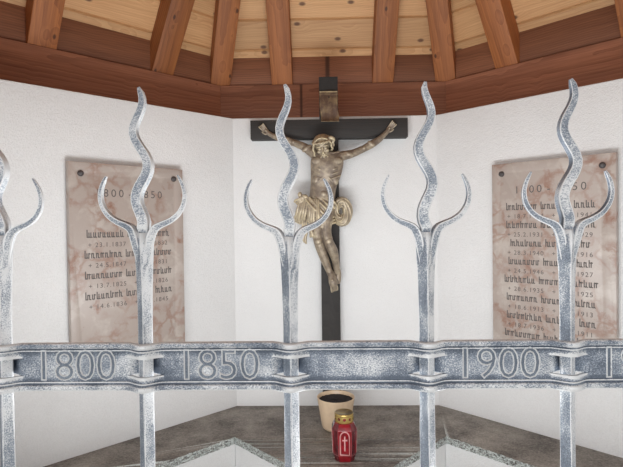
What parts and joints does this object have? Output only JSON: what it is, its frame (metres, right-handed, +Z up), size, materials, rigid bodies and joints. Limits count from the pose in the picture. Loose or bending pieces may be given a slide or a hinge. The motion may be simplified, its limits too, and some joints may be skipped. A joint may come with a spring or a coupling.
{
  "type": "open-fronted octagonal wayside shrine",
  "caption": "Small octagonal wayside chapel with rendered walls, stone ledges, crucifix, plaques, wrought-iron grille and a timber tent roof; stands on level ground.",
  "frame": {"origin": "on the ground at the centre of the octagonal floor slab", "axes": "+Z up, the open front with its two posts and the grille faces -Y, the back wall is at +Y, +X to the right seen from the front"},
  "size_m": [2.85, 2.85, 3.8923],
  "materials": {
    "render": "fine roughcast lime render, off-white",
    "floor_stone": "floated concrete slab",
    "ledge_stone": "honed stone with a rough split edge",
    "plate_timber": "dark stained softwood",
    "block_stone": "dressed stone",
    "rafter_timber": "stained softwood",
    "blocking_timber": "dark stained boards",
    "spruce_boarding": "planed knotty spruce boards",
    "shingles": "weathered larch shingles",
    "sheet_metal": "weathered sheet metal",
    "cross_wood": "black painted timber",
    "gilt_bronze": "dull patinated metal with rubbed gold highlights",
    "marble": "polished pink-beige veined marble",
    "bolt_iron": "dark bronze-coloured bolt heads",
    "wrought_iron": "hammered iron, slate blue with rubbed bright edges",
    "red_cup": "translucent red plastic",
    "gold_lid": "pressed gold-coloured sheet",
    "glazed_pot": "matt cream ceramic",
    "soil": "loose potting soil"
  },
  "bodies": {
    "root": {"wall_back": "render", "wall_back_left": "render", "wall_back_right": "render", "wall_left": "render", "wall_right": "render", "ledge_base_left": "render", "ledge_base_right": "render", "altar_base": "render", "floor_slab": "floor_stone", "ledge_slab_left": "ledge_stone", "ledge_slab_right": "ledge_stone", "altar_slab": "ledge_stone", "wall_plate_back": "plate_timber", "wall_plate_back_left": "plate_timber", "wall_plate_back_right": "plate_timber", "wall_plate_left": "plate_timber", "wall_plate_right": "plate_timber", "canopy_plates": "plate_timber", "post_left": "plate_timber", "post_right": "plate_timber", "post_blocks": "block_stone", "jack_rafters": "rafter_timber", "hip_rafters": "rafter_timber", "king_post": "rafter_timber", "sprockets": "rafter_timber", "blocking_boards": "blocking_timber", "roof_boarding": "spruce_boarding", "eaves_boarding": "spruce_boarding", "shingle_covering": "shingles", "apex_cap": "sheet_metal", "cross_upright": "cross_wood", "cross_beam": "cross_wood", "corpus": "gilt_bronze", "titulus": "gilt_bronze", "plaque_left": "marble", "plaque_right": "marble", "plaque_bolts": "bolt_iron", "grille_band": "wrought_iron", "grille_rail": "wrought_iron", "grille_uprights": "wrought_iron", "lantern_cup": "red_cup", "lantern_lid": "gold_lid", "flower_pot": "glazed_pot", "pot_soil": "soil"}
  },
  "joints": []
}
